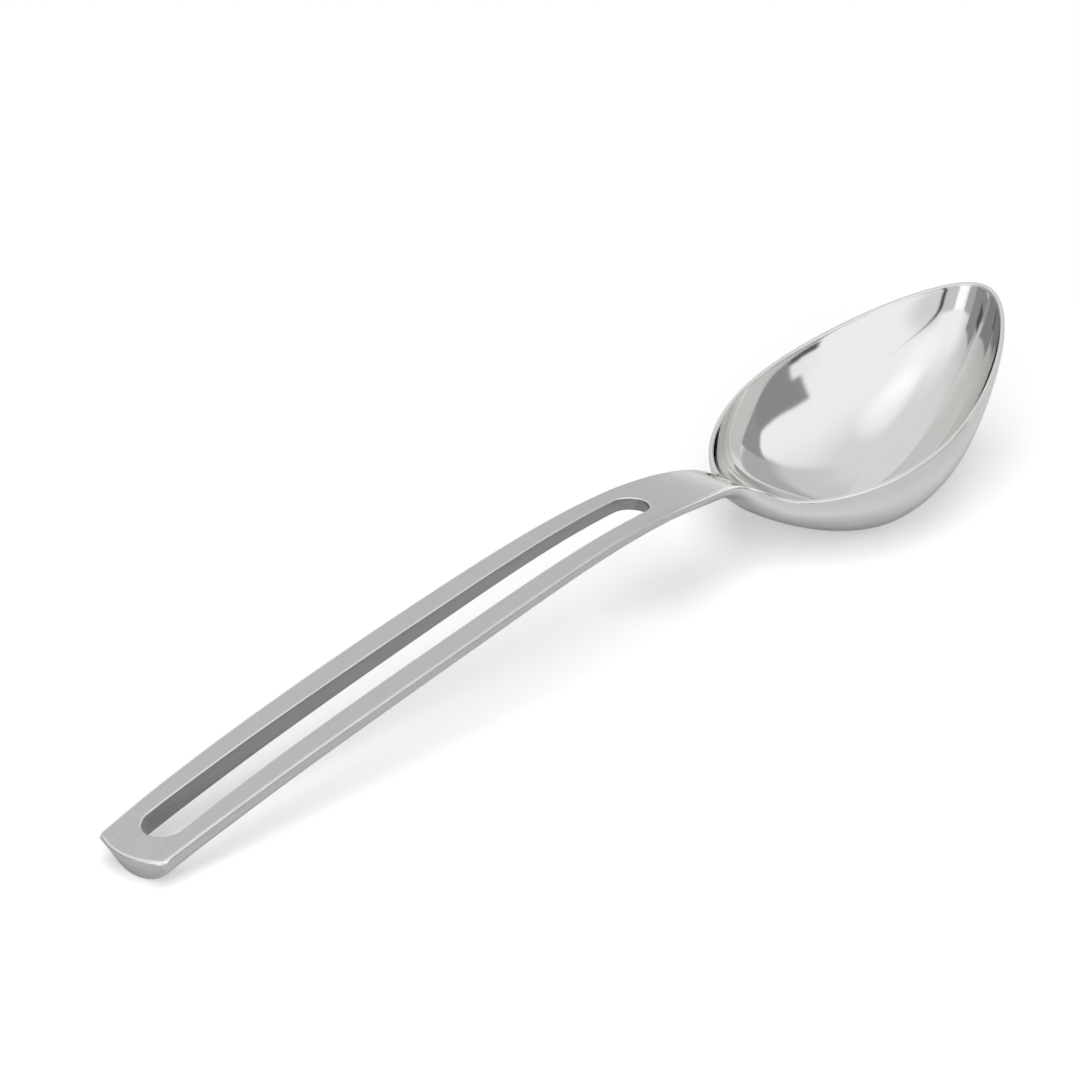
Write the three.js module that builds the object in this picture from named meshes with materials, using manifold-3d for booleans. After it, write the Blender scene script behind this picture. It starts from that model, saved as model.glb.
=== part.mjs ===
import * as THREE from "three";
import Module from "manifold-3d";

// A serving spoon lying on a table: a satin handle with one long slot, a polished egg-shaped bowl,
// and the flush weld that joins them at the neck. Millimetres, +Z up, the table at z = 0.
// Along the spoon, x runs from the corners of the handle's end (0) to the tip of the bowl.

// Lengths along the spoon
const TIP_X = 250;
const END_BULGE = 2.3;
const SEAM_X = 163;
const SEAM_WIDTH = 2;
const SLOT_START_X = 4.3;
const SLOT_END_X = 140.5;
const MOUTH_BACK_X = 173.2;
const WIDEST_X = 205;
const FOOT_X = 203;

// Handle: top line, half width, thickness and the lean of its end face
const HANDLE_TOP = [
  [0, 6.25], [15, 9.63], [40, 14.3], [80, 20.4], [115, 24.9],
  [137, 26.1], [154, 24.95], [164, 22.6], [176, 15.8],
];
const HANDLE_HALF = [
  [0, 8.4], [15, 8.95], [35, 9.3], [65, 9.5], [95, 9.3],
  [130, 8.5], [150, 7.7], [163, 6.2], [176, 5.4],
];
const EDGE_AT_END = 1;
const EDGE_AT_NECK = 0.8;
const BELLY_AT_END = 5.4;
const BELLY_AT_NECK = 3;
const END_LEAN = 0.48;
const SLOT_HALF_AT_START = 4.45;
const SLOT_HALF_AT_END = 3.85;
const HANDLE_BEVEL = 0.5;
const SLOT_BEVEL = 0.3;

// Bowl: mouth, rim and wall
const MOUTH_HALF = 24.6;
const RIM_LAND = 1;
const RIM_EDGE = 0.8;
const RIM_BACK_Z = 15.55;
const RIM_TIP_Z = 37.9;
const RIM_SAG = 1.4;
const RIM_BEVEL = 0.3;
const BOTTOM_WALL = 1.5;
const FOOT_FLAT_DEPTH = 0.25;
const HEEL = [167.5, 17.25];
const HEEL_SLOPE = -1.07;
const HEEL_REACH = 8.6;
const KEEL_BACK_REACH = 7.7;
const HOLLOW_BACK_SLOPE = -1.3;
const HOLLOW_BACK_REACH = 7;
const TIP_LIP = 6;
const LIP_SHARPNESS = 16;

// How full the sections are: 0.5 is half an ellipse, 1 a parabola
const HANDLE_FULLNESS = 0.5;
const OUTER_FULLNESS = { back: 0.54, front: 0.68, from: 212, to: 236 };
const HOLLOW_FULLNESS = { back: 0.46, front: 0.8, from: 202, to: 224 };

// How full the egg-shaped mouth is: lengths of the curve's pulls as shares of each quarter's box
const EGG_BACK_PULL_Y = 0.486;
const EGG_BACK_PULL_X = 0.567;
const EGG_FRONT_PULL_X = 0.413;
const EGG_FRONT_PULL_Y = 0.42;

// How the neck flows into the bowl in plan, along the top and underneath
const FLARE_START_X = 161;
const FLARE_END_X = 176.5;
const TOP_BLEND = 1.2;
const UNDER_BLEND = 0.8;
const NECK_BLEND_START_X = 150;
const NECK_CHANGE_START_X = 164;
const NECK_CHANGE_END_X = 186;

// Spacing of the facets
const HANDLE_STEP = 5;
const HANDLE_COLUMNS = 8;
const BOWL_STEP = 2.6;
const BOWL_COLUMNS = 19;
const ROUND_STEPS = 9;
const TIP_FLAT = 0.05;
const SLOPE_STEP = 0.02;
const CUT_CLEARANCE = 4;

const SATIN_STEEL = { color: 0xb6b6b2, roughness: 0.38, metalness: 1 };
const WELD_STEEL = { color: 0xb9b9b6, roughness: 0.3, metalness: 1 };
const POLISHED_STEEL = { color: 0xcfcfcd, roughness: 0.07, metalness: 1 };

const wasm = await Module();
wasm.setup();

const mix = (a, b, share) => a + (b - a) * share;
const clampShare = (x, from, to) => Math.min(Math.max((x - from) / (to - from), 0), 1);
const smoothShare = (x, from, to) => clampShare(x, from, to) ** 2 * (3 - 2 * clampShare(x, from, to));
const softMax = (a, b, reach) => (a + b + Math.hypot(a - b, reach)) / 2;
const softMin = (a, b, reach) => (a + b - Math.hypot(a - b, reach)) / 2;

// A smooth line through stations, each with the slope between its neighbours; straight beyond the last
function lineThrough(stations) {
  const slopes = stations.map((station, i) => {
    const before = stations[Math.max(i - 1, 0)];
    const after = stations[Math.min(i + 1, stations.length - 1)];
    return (after[1] - before[1]) / (after[0] - before[0]);
  });
  const last = stations.length - 1;
  return (x) => {
    if (x >= stations[last][0]) return stations[last][1] + slopes[last] * (x - stations[last][0]);
    const i = Math.max(stations.findIndex((station) => station[0] > x) - 1, 0);
    const length = stations[i + 1][0] - stations[i][0];
    const t = (x - stations[i][0]) / length;
    const rise = stations[i + 1][1] - stations[i][1];
    const bend = t * (1 - t) * ((1 - t) * (slopes[i] * length - rise) - t * (slopes[i + 1] * length - rise));
    return stations[i][1] + rise * t + bend;
  };
}

// The height of a cubic curve above x, where the curve runs forward in x all the way
function heightOnCurve(a, b, c, d, x) {
  const curve = new THREE.CubicBezierCurve(...[a, b, c, d].map((p) => new THREE.Vector2(...p)));
  const point = new THREE.Vector2();
  let low = 0;
  let high = 1;
  for (let i = 0; i < 40; i += 1) {
    const middle = (low + high) / 2;
    if (curve.getPoint(middle, point).x < x) low = middle;
    else high = middle;
  }
  return curve.getPoint((low + high) / 2, point).y;
}

// Half width of the egg-shaped mouth at x, grown outward all round
function eggHalf(x, grow) {
  const back = MOUTH_BACK_X - grow;
  const front = TIP_X - RIM_LAND + grow;
  const half = MOUTH_HALF + grow;
  if (x <= back || x >= front) return 0;
  const backPull = [WIDEST_X - EGG_BACK_PULL_X * (WIDEST_X - back), half];
  const frontPull = [WIDEST_X + EGG_FRONT_PULL_X * (front - WIDEST_X), half];
  if (x < WIDEST_X) {
    return heightOnCurve([back, 0], [back, EGG_BACK_PULL_Y * half], backPull, [WIDEST_X, half], x);
  }
  return heightOnCurve([WIDEST_X, half], frontPull, [front, EGG_FRONT_PULL_Y * half], [front, 0], x);
}

const handleTop = lineThrough(HANDLE_TOP);
const handleHalf = lineThrough(HANDLE_HALF);

// Rim seen from the side: a shallow hanging curve from the mouth's back up to the tip, straight behind it
function rimLine(x) {
  const share = (x - MOUTH_BACK_X) / (TIP_X - MOUTH_BACK_X);
  const bend = 4 * RIM_SAG * Math.max(share, 0) ** 2;
  return RIM_BACK_Z + (RIM_TIP_Z - RIM_BACK_Z - 4 * RIM_SAG) * share + bend;
}

// Share of the blend between handle and bowl: none along the handle, full at the neck, gone past the mouth
const neckLeft = (x) => 1 - smoothShare(x, MOUTH_BACK_X, WIDEST_X);
const neckBlend = (x) => clampShare(x, NECK_BLEND_START_X, HEEL[0]) * neckLeft(x);
const topLine = (x) => softMax(handleTop(x), rimLine(x), TOP_BLEND * neckBlend(x));
const bowlShare = (x) => smoothShare(x, NECK_CHANGE_START_X, NECK_CHANGE_END_X);
const rimHalf = (x) => eggHalf(x, RIM_LAND);
const slopeOf = (line, x) => (line(x + SLOPE_STEP) - line(x - SLOPE_STEP)) / (2 * SLOPE_STEP);

// Half width of the neck: one sweep from the side of the handle into the outline of the bowl
function neckHalf(x) {
  const length = FLARE_END_X - FLARE_START_X;
  const t = (x - FLARE_START_X) / length;
  const start = handleHalf(FLARE_START_X);
  const rise = rimHalf(FLARE_END_X) - start;
  const leave = slopeOf(handleHalf, FLARE_START_X) * length - rise;
  const arrive = slopeOf(rimHalf, FLARE_END_X) * length - rise;
  return start + rise * t + t * (1 - t) * ((1 - t) * leave - t * arrive);
}

function halfWidth(x) {
  if (x < FLARE_START_X) return handleHalf(x);
  return x < FLARE_END_X ? neckHalf(x) : rimHalf(x);
}

function edgeThickness(x) {
  const handleEdge = mix(EDGE_AT_END, EDGE_AT_NECK, clampShare(x, 0, SEAM_X));
  return mix(handleEdge, RIM_EDGE, bowlShare(x));
}

function handleUnderside(x) {
  const share = clampShare(x, 0, SEAM_X);
  return topLine(x) - mix(EDGE_AT_END, EDGE_AT_NECK, share) - mix(BELLY_AT_END, BELLY_AT_NECK, share);
}

// Rise from the foot to the tip: a parabola that turns up into a steep lip
function frontRise(low, high, share) {
  return mix(low, high - TIP_LIP, share ** 2) + TIP_LIP * share ** LIP_SHARPNESS;
}

// Keel of the bowl: from the heel under the neck down to the foot, then up to the tip
function keelLine(x) {
  if (x < HEEL[0]) return HEEL[1] + HEEL_SLOPE * (x - HEEL[0]);
  if (x < FOOT_X) {
    const pull = [HEEL[0] + HEEL_REACH, HEEL[1] + HEEL_SLOPE * HEEL_REACH];
    const flat = [FOOT_X - KEEL_BACK_REACH, -FOOT_FLAT_DEPTH];
    return heightOnCurve(HEEL, pull, flat, [FOOT_X, -FOOT_FLAT_DEPTH], x);
  }
  const share = (x - FOOT_X) / (TIP_X - FOOT_X);
  return frontRise(-FOOT_FLAT_DEPTH, RIM_TIP_Z - RIM_EDGE, share);
}

function underLine(x) {
  if (x > FOOT_X) return keelLine(x);
  return softMin(handleUnderside(x), keelLine(x), UNDER_BLEND * neckBlend(x));
}

// Bottom of the hollow: from the back of the mouth down to the foot, then up to the inner tip
function hollowLine(x) {
  const backTop = topLine(MOUTH_BACK_X);
  if (x < FOOT_X) {
    const pull = [MOUTH_BACK_X + HOLLOW_BACK_REACH, backTop + HOLLOW_BACK_SLOPE * HOLLOW_BACK_REACH];
    const flat = [FOOT_X - KEEL_BACK_REACH, BOTTOM_WALL];
    return heightOnCurve([MOUTH_BACK_X, backTop], pull, flat, [FOOT_X, BOTTOM_WALL], x);
  }
  const inner = TIP_X - RIM_LAND;
  const share = (x - FOOT_X) / (inner - FOOT_X);
  return frontRise(BOTTOM_WALL, topLine(inner), share);
}

const fullnessAlong = (form, x) => mix(form.back, form.front, smoothShare(x, form.from, form.to));

// Places across a section, closer together toward its edges
function acrossSection(columns) {
  return Array.from({ length: columns + 1 }, (_, i) => Math.sin(Math.PI * (i / columns - 0.5)));
}

// Section of the outer form at x: a top row with bevelled corners above a matching underside row
function outerSection(x, columns) {
  const at = Math.min(x, TIP_X - TIP_FLAT);
  const half = halfWidth(at);
  const top = topLine(at);
  const edge = edgeThickness(at);
  const belly = Math.max(top - edge - underLine(at), 0);
  const fullness = mix(HANDLE_FULLNESS, fullnessAlong(OUTER_FULLNESS, at), bowlShare(at));
  const bevel = Math.min(mix(HANDLE_BEVEL, RIM_BEVEL, bowlShare(at)), half * 0.25);
  const across = [-half, ...acrossSection(columns).map((share) => share * (half - bevel)), half];
  return across.map((y, i) => {
    const corner = i === 0 || i === across.length - 1;
    const drop = belly * Math.max(1 - (y / half) ** 2, 0) ** fullness;
    return { x, y, upper: top - (corner ? bevel : 0), lower: Math.max(top - edge - drop, 0) };
  });
}

// Section of the hollow at x, open above the rim
function hollowSection(x, columns) {
  const at = Math.min(Math.max(x, MOUTH_BACK_X + TIP_FLAT), TIP_X - RIM_LAND - TIP_FLAT);
  const half = eggHalf(at, 0);
  const top = topLine(at);
  const depth = Math.max(top - hollowLine(at), 0);
  const fullness = fullnessAlong(HOLLOW_FULLNESS, at);
  return acrossSection(columns).map((share) => {
    const lower = top - depth * Math.max(1 - share * share, 0) ** fullness;
    return { x, y: share * half, upper: top + CUT_CLEARANCE, lower };
  });
}

// Half width of the slot at x: straight tapering sides with a round at each end
function slotHalf(x) {
  const startRound = SLOT_START_X + SLOT_HALF_AT_START;
  const endRound = SLOT_END_X - SLOT_HALF_AT_END;
  const side = mix(SLOT_HALF_AT_START, SLOT_HALF_AT_END, clampShare(x, startRound, endRound));
  const past = Math.max(startRound - x, x - endRound, 0);
  return Math.sqrt(Math.max(side * side - past * past, 0));
}

// Section of the slot's cut at x, flared where it meets the top of the handle
function slotSection(x) {
  const half = Math.max(slotHalf(x), TIP_FLAT);
  const low = handleUnderside(x) - CUT_CLEARANCE;
  const top = handleTop(x);
  const flared = half + SLOT_BEVEL;
  return [
    [-flared, top + CUT_CLEARANCE],
    [flared, top + CUT_CLEARANCE],
    [flared, top],
    [half, top - SLOT_BEVEL],
    [half, low],
    [-half, low],
    [-half, top - SLOT_BEVEL],
    [-flared, top],
  ].map(([y, z]) => [x, y, z]);
}

// The handle's end: its top edge bulges outward, and the face leans in under it
function endSection() {
  const section = outerSection(0, HANDLE_COLUMNS);
  return section.map((p) => {
    const x = -END_BULGE * (1 - (p.y / handleHalf(0)) ** 2);
    return { ...p, x, lean: END_LEAN * (p.upper - p.lower) };
  });
}

// Loop of points round a section: along the top row, then back along the underside
function sectionLoop(section) {
  const upper = section.map((p) => [p.x, p.y, p.upper]);
  const lower = section.map((p) => [p.x + (p.lean ?? 0), p.y, p.lower]).reverse();
  return [...upper, ...lower];
}

// A closed solid through loops of equal length, with its two ends closed by strips across the loop
function solidThrough(loops) {
  const size = loops[0].length;
  const triangles = [];
  for (let ring = 0; ring + 1 < loops.length; ring += 1) {
    for (let i = 0; i < size; i += 1) {
      const a = ring * size + i;
      const b = ring * size + ((i + 1) % size);
      triangles.push(a, a + size, b, b, a + size, b + size);
    }
  }
  const end = (loops.length - 1) * size;
  for (let i = 0; i + 1 < size / 2; i += 1) {
    const j = size - 1 - i;
    triangles.push(i, i + 1, j, j, i + 1, j - 1);
    triangles.push(end + i, end + j, end + i + 1, end + j, end + j - 1, end + i + 1);
  }
  const mesh = new wasm.Mesh({
    numProp: 3,
    vertProperties: new Float32Array(loops.flat(2)),
    triVerts: new Uint32Array(triangles),
  });
  return new wasm.Manifold(mesh);
}

// Even stations from one x to another, no further apart than the step
function stations(from, to, step) {
  const count = Math.ceil((to - from) / step);
  return Array.from({ length: count + 1 }, (_, i) => mix(from, to, i / count));
}

// Stations round a quarter curve, closer together toward its steep end
function quarterStations(widest, steepEnd, step) {
  const count = Math.ceil(Math.abs(steepEnd - widest) / step);
  const turn = (i) => Math.sin((Math.PI / 2) * (i / count));
  return Array.from({ length: count + 1 }, (_, i) => mix(widest, steepEnd, turn(i)));
}

const handleFace = SEAM_X - SEAM_WIDTH / 2;
const bowlFace = SEAM_X + SEAM_WIDTH / 2;

function buildHandle() {
  const along = stations(0, handleFace, HANDLE_STEP).slice(1);
  const sections = [endSection(), ...along.map((x) => outerSection(x, HANDLE_COLUMNS))];
  const body = solidThrough(sections.map(sectionLoop));
  const startRound = SLOT_START_X + SLOT_HALF_AT_START;
  const endRound = SLOT_END_X - SLOT_HALF_AT_END;
  const roundStep = SLOT_HALF_AT_START / ROUND_STEPS;
  const places = [
    ...quarterStations(startRound, SLOT_START_X, roundStep).reverse(),
    ...stations(startRound, endRound, HANDLE_STEP).slice(1, -1),
    ...quarterStations(endRound, SLOT_END_X, roundStep),
  ];
  const slot = solidThrough(places.map(slotSection));
  return body.subtract(slot);
}

function buildWeld() {
  const sections = [handleFace, bowlFace].map((x) => outerSection(x, HANDLE_COLUMNS));
  return solidThrough(sections.map(sectionLoop));
}

function buildBowl() {
  const neck = stations(bowlFace, MOUTH_BACK_X - RIM_LAND, BOWL_STEP);
  const outerBack = quarterStations(WIDEST_X, MOUTH_BACK_X - RIM_LAND, BOWL_STEP).reverse();
  const outerFront = quarterStations(WIDEST_X, TIP_X, BOWL_STEP);
  const outerPlaces = [...neck, ...outerBack.slice(1), ...outerFront.slice(1)];
  const outer = solidThrough(outerPlaces.map((x) => sectionLoop(outerSection(x, BOWL_COLUMNS))));
  const hollowBack = quarterStations(WIDEST_X, MOUTH_BACK_X, BOWL_STEP).reverse();
  const hollowFront = quarterStations(WIDEST_X, TIP_X - RIM_LAND, BOWL_STEP);
  const hollowPlaces = [...hollowBack, ...hollowFront.slice(1)];
  const hollow = solidThrough(hollowPlaces.map((x) => sectionLoop(hollowSection(x, BOWL_COLUMNS))));
  return outer.subtract(hollow);
}

function asMesh(name, solid, look) {
  const { vertProperties, triVerts } = solid.getMesh();
  const geometry = new THREE.BufferGeometry();
  geometry.setAttribute("position", new THREE.BufferAttribute(new Float32Array(vertProperties), 3));
  geometry.setIndex(new THREE.BufferAttribute(new Uint32Array(triVerts), 1));
  geometry.computeVertexNormals();
  const mesh = new THREE.Mesh(geometry, new THREE.MeshStandardMaterial(look));
  mesh.name = name;
  return mesh;
}

const spoon = new THREE.Group();
spoon.add(asMesh("handle", buildHandle(), SATIN_STEEL));
spoon.add(asMesh("neck_weld", buildWeld(), WELD_STEEL));
spoon.add(asMesh("bowl", buildBowl(), POLISHED_STEEL));
spoon.position.x = -(TIP_X - END_BULGE) / 2;

export default spoon;
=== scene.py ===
import math

import bmesh
import bpy
import numpy as np
from mathutils import Matrix, Vector


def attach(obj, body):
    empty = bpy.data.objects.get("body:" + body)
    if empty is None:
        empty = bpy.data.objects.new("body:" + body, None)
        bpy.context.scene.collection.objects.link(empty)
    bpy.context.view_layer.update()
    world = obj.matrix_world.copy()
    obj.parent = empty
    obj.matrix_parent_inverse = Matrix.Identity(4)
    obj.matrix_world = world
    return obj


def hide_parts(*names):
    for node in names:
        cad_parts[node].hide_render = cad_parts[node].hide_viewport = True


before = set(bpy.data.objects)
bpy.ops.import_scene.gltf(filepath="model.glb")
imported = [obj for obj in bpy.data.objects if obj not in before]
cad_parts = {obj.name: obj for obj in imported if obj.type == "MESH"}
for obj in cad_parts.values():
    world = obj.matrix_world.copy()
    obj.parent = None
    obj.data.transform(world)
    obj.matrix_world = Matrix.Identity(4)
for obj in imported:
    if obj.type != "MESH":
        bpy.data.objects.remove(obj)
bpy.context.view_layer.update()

# Lengths of the spoon in millimetres. x runs from the corners of the handle's end to the bowl's tip.
MM = 0.001
TIP_X = 250.0
END_BULGE = 2.3
SEAM_X = 163.0
SEAM_WIDTH = 2.0
MOUTH_BACK_X = 173.2
WIDEST_X = 205.0
FOOT_X = 203.0
MIDDLE_X = (TIP_X - END_BULGE) / 2

# Top line and half width of the handle, as (x, length)
HANDLE_TOP = [(0, 6.25), (15, 9.63), (40, 14.3), (80, 20.4), (115, 24.9), (137, 26.1),
              (154, 24.95), (164, 22.6), (176, 15.8)]
HANDLE_HALF = [(0, 8.4), (15, 8.95), (35, 9.3), (65, 9.5), (95, 9.3), (130, 8.5),
               (150, 7.7), (163, 6.2), (176, 5.4)]
END_EDGE = 1.0
NECK_EDGE = 0.8
END_BELLY = 5.4
NECK_BELLY = 3.0
END_FLAT = 4.75
NECK_FLAT = 2.5
FLAT_SOFT = 0.4
FLAT_RISE_X = (2.5, 7.0)
FLAT_FADE_X = (141.0, 160.0)
END_CORNER = 1.3
END_LEAN = 0.48

# Slot in the handle
SLOT_START_X = 4.3
SLOT_END_X = 140.5
SLOT_START_HALF = 4.45
SLOT_END_HALF = 3.85

# Bowl
MOUTH_HALF = 24.6
RIM_LAND = 1.0
RIM_EDGE = 0.8
RIM_BACK_Z = 15.55
RIM_TIP_Z = 37.9
RIM_SAG = 1.4
BOTTOM_WALL = 1.5
FOOT_FLAT_DEPTH = 0.25
HEEL_X = 167.5
HEEL_Z = 17.25
HEEL_SLOPE = -1.07
HEEL_REACH = 8.6
KEEL_BACK_REACH = 7.7
HOLLOW_BACK_SLOPE = -1.37
HOLLOW_BACK_REACH = 7.8
TIP_LIP = 6.0
LIP_SHARPNESS = 16

# How full the sections are, at the back and the front and between which places they change:
# 0.5 is half an ellipse, 1 a parabola
HANDLE_FULLNESS = 0.5
OUTER_FULLNESS = (0.54, 0.68, 212.0, 236.0)
HOLLOW_FULLNESS = (0.43, 0.81, 187.0, 212.0)

# How full the egg-shaped mouth is: lengths of the curve's pulls as shares of each quarter's box
BACK_PULL_Y = 0.486
BACK_PULL_X = 0.567
FRONT_PULL_X = 0.413
FRONT_PULL_Y = 0.42

# Soft joins of handle and bowl at the neck
FLARE_START_X = 161.0
FLARE_END_X = 176.5
TOP_BLEND = 1.2
UNDER_BLEND = 0.8
NECK_BLEND_START_X = 150.0
NECK_CHANGE_START_X = 164.0
NECK_CHANGE_END_X = 186.0

# Radii of the softened edges
HANDLE_ROUND = 0.55
END_ROUND = 0.35
SLOT_ROUND = 0.35
BELLY_TURN = 2.0
RIM_ROUND = 0.4
MOUTH_ROUND = 0.3
# Edges that turn by more degrees than this are shaded sharp
SHARP_TURN = 38.0

# How far up faces look, as the upward part of their normal: edges that get a painted highlight, and walls
# of the slot that get painted shade
HIGHLIGHT_FACING = (0.2, 0.99)
WALL_FACING = 0.75

# Where the handle's satin runs out into polish, in metres from the spoon's middle
POLISH_START = 0.027
POLISH_END = 0.041

# Spacing of the handle's grain along and across it, and the values that its noise mostly lies between
HANDLE_GRAIN = (45.0, 2600.0, 2600.0)
GRAIN_RANGE = (0.3, 0.7)

# Studio, in levels where 1 is white and in degrees. A turn runs from the handle's end toward the camera,
# a turn ahead runs from the bowl's tip away from the camera, and a rise runs up from the floor.
# A pair of degrees is where one level goes over into the next.
DOME_LEVEL = 0.8
DOME_START_RISE = (-12, 50)
SIDE_LOW_LEVEL = 0.62
FAR_LOW_LEVEL = 0.2
FAR_START_AHEAD = (75, 105)
AHEAD_LEVEL = 0.48
AHEAD_SIDES = (-42, 35)
AHEAD_EDGE = 6
AHEAD_LOW_LEVEL = 1.1
AHEAD_LOW_END_RISE = (17, 29)
AHEAD_HIGH_LEVEL = 0.68
AHEAD_HIGH_START_RISE = (42, 51)
AHEAD_HIGH_END_RISE = (55, 80)
WALL_LEVEL = 1.04
WALL_START_TURN = (-42, 2)
WALL_END_TURN = (130, 142)
WALL_TOP_RISE = (38, 70)
# Soft panels hung before the wall and a soft shade low on it, as (direction, gain).
# PANEL_REACH is the cosine of their half width.
PANELS = [((-0.317, -0.406, 0.857), 0.22),
          ((-0.563, -0.436, 0.702), 0.07),
          ((-0.704, -0.68, 0.208), -0.28)]
PANEL_REACH = 0.945
# Cards on the table's edge, as (turn from, turn to, rise from, rise to, climb along the turn, level)
CARDS = [(-0.5, 16, -9, 20, 0, 1.22),
         (-28, -6, -9, 20, 0, 0.46),
         (17, 34, -9, 20, 0, 0.66),
         (99, 122, -9, 29.5, 0, 0.3),
         (120, 141, -9, 29.5, 0.6, 0.34),
         (92, 103.5, 10.5, 18.5, 0, 1.0),
         (92, 104, 3, 9, 0, 0.1),
         (-57, -26, -9, 27, 0, 0.3),
         (-75, -51, 6, 15, 0, 0.1)]
CARD_EDGE = 1.2
# A bent rod that stands in front of the wall
ROD_TURN = 36.0
ROD_HALF_WIDTH = (0.8, 3.4)
ROD_BEND_RISE = 15.0
ROD_BEND = 0.11
ROD_TOP_RISE = (17, 33)
ROD_LEVEL = 0.08
# Soft boxes for the paper, in metres and watts: one overhead, one low on the camera's side
SOFT_BOX_SIZE = 5.9
SOFT_BOX_DISTANCE = 8.0
TOP_BOX_DIRECTION = (-0.25, -0.2, 1.0)
TOP_BOX_POWER = 430.0
SIDE_BOX_DIRECTION = (-0.63, -0.57, 0.53)
SIDE_BOX_POWER = 512.0
# Paper: what it adds of its own where the camera or the steel looks at it
PAPER_TO_CAMERA = 0.43
PAPER_TO_STEEL = 0.04
PAPER_REACH = 4.0

# Camera: place in the spoon's lengths, turn from +x, downward tilt and roll in degrees,
# lens and sensor in millimetres
CAMERA_PLACE = (-552.28, -593.84, 449.47)
CAMERA_TURN = 41.868
CAMERA_TILT = 25.344
CAMERA_ROLL = -0.301
CAMERA_LENS = 170.8
CAMERA_SENSOR = 36.0


# Curves
def mix(a, b, share):
    return a + (b - a) * share


def clear_share(x, low, high):
    return np.clip((x - low) / (high - low), 0, 1)


def smooth_share(x, low, high):
    share = clear_share(x, low, high)
    return share * share * (3 - 2 * share)


def soft_max(a, b, radius):
    return (a + b + np.hypot(a - b, radius)) / 2


def soft_min(a, b, radius):
    return (a + b - np.hypot(a - b, radius)) / 2


def bezier(points, share):
    a, b, c, d = [np.array(point, float) for point in points]
    t = np.asarray(share, float)[..., None]
    return (1 - t) ** 3 * a + 3 * (1 - t) ** 2 * t * b + 3 * (1 - t) * t * t * c + t ** 3 * d


def height_on(points, x):
    curve = bezier(points, np.linspace(0, 1, 4001))
    return np.interp(x, curve[:, 0], curve[:, 1])


def line_through(stations):
    """A smooth line through the stations, straight past the last one."""
    at = np.array(stations, float)
    count = len(at)
    before = np.maximum(np.arange(count) - 1, 0)
    after = np.minimum(np.arange(count) + 1, count - 1)
    slope = (at[after, 1] - at[before, 1]) / (at[after, 0] - at[before, 0])

    def line(x):
        x = np.asarray(x, float)
        i = np.clip(np.searchsorted(at[:, 0], x, side="right") - 1, 0, count - 2)
        length = at[i + 1, 0] - at[i, 0]
        rise = at[i + 1, 1] - at[i, 1]
        t = (x - at[i, 0]) / length
        bend = t * (1 - t) * ((1 - t) * (slope[i] * length - rise) - t * (slope[i + 1] * length - rise))
        beyond = at[-1, 1] + slope[-1] * (x - at[-1, 0])
        return np.where(x >= at[-1, 0], beyond, at[i, 1] + rise * t + bend)

    return line


# Form of the whole spoon
handle_top = line_through(HANDLE_TOP)
handle_half = line_through(HANDLE_HALF)


def egg_point(share, grow):
    """A point of the mouth's outline, grown outward.

    The share is 0 at the back, 1 at the widest place and 2 at the tip.
    """
    back = MOUTH_BACK_X - grow
    front = TIP_X - RIM_LAND + grow
    half = MOUTH_HALF + grow
    share = np.asarray(share, float)
    behind = [(back, 0), (back, BACK_PULL_Y * half),
              (WIDEST_X - BACK_PULL_X * (WIDEST_X - back), half), (WIDEST_X, half)]
    ahead = [(WIDEST_X, half), (WIDEST_X + FRONT_PULL_X * (front - WIDEST_X), half),
             (front, FRONT_PULL_Y * half), (front, 0)]
    return np.where((share < 1)[..., None], bezier(behind, share), bezier(ahead, share - 1))


def egg_half(x, grow):
    outline = egg_point(np.linspace(0, 2, 8001), grow)
    return np.interp(x, outline[:, 0], outline[:, 1], left=0, right=0)


def rim_line(x):
    share = (x - MOUTH_BACK_X) / (TIP_X - MOUTH_BACK_X)
    bend = 4 * RIM_SAG
    return RIM_BACK_Z + (RIM_TIP_Z - RIM_BACK_Z - bend) * share + bend * np.maximum(share, 0) ** 2


def neck_left(x):
    return 1 - smooth_share(x, MOUTH_BACK_X, WIDEST_X)


def neck_blend(x):
    return clear_share(x, NECK_BLEND_START_X, HEEL_X) * neck_left(x)


def top_line(x):
    return soft_max(handle_top(x), rim_line(x), TOP_BLEND * neck_blend(x))


def slope_of(line, x):
    step = 0.02
    return (line(x + step) - line(x - step)) / (2 * step)


def outer_egg(x):
    return egg_half(x, RIM_LAND)


def neck_flare(x):
    """One smooth sweep from the handle's side into the bowl's outline."""
    length = FLARE_END_X - FLARE_START_X
    t = clear_share(x, FLARE_START_X, FLARE_END_X)
    start, end = handle_half(FLARE_START_X), outer_egg(FLARE_END_X)
    leave = slope_of(handle_half, FLARE_START_X) * length
    arrive = slope_of(outer_egg, FLARE_END_X) * length
    rise = end - start
    return start + rise * t + t * (1 - t) * ((1 - t) * (leave - rise) - t * (arrive - rise))


def half_width(x):
    past_handle = np.where(x < FLARE_END_X, neck_flare(x), outer_egg(x))
    return np.where(x < FLARE_START_X, handle_half(x), past_handle)


def bowl_share(x):
    return smooth_share(x, NECK_CHANGE_START_X, NECK_CHANGE_END_X)


def fullness_along(form, x):
    back, front, start, end = form
    return mix(back, front, smooth_share(x, start, end))


def handle_share(x):
    return clear_share(x, 0, SEAM_X)


def edge_height(x):
    return mix(mix(END_EDGE, NECK_EDGE, handle_share(x)), RIM_EDGE, bowl_share(x))


def handle_under(x):
    share = handle_share(x)
    return top_line(x) - mix(END_EDGE, NECK_EDGE, share) - mix(END_BELLY, NECK_BELLY, share)


def front_rise(low, high, share):
    """Rise from the foot to the tip: a parabola that turns up into a steep lip."""
    return mix(low, high - TIP_LIP, share ** 2) + TIP_LIP * share ** LIP_SHARPNESS


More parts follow.
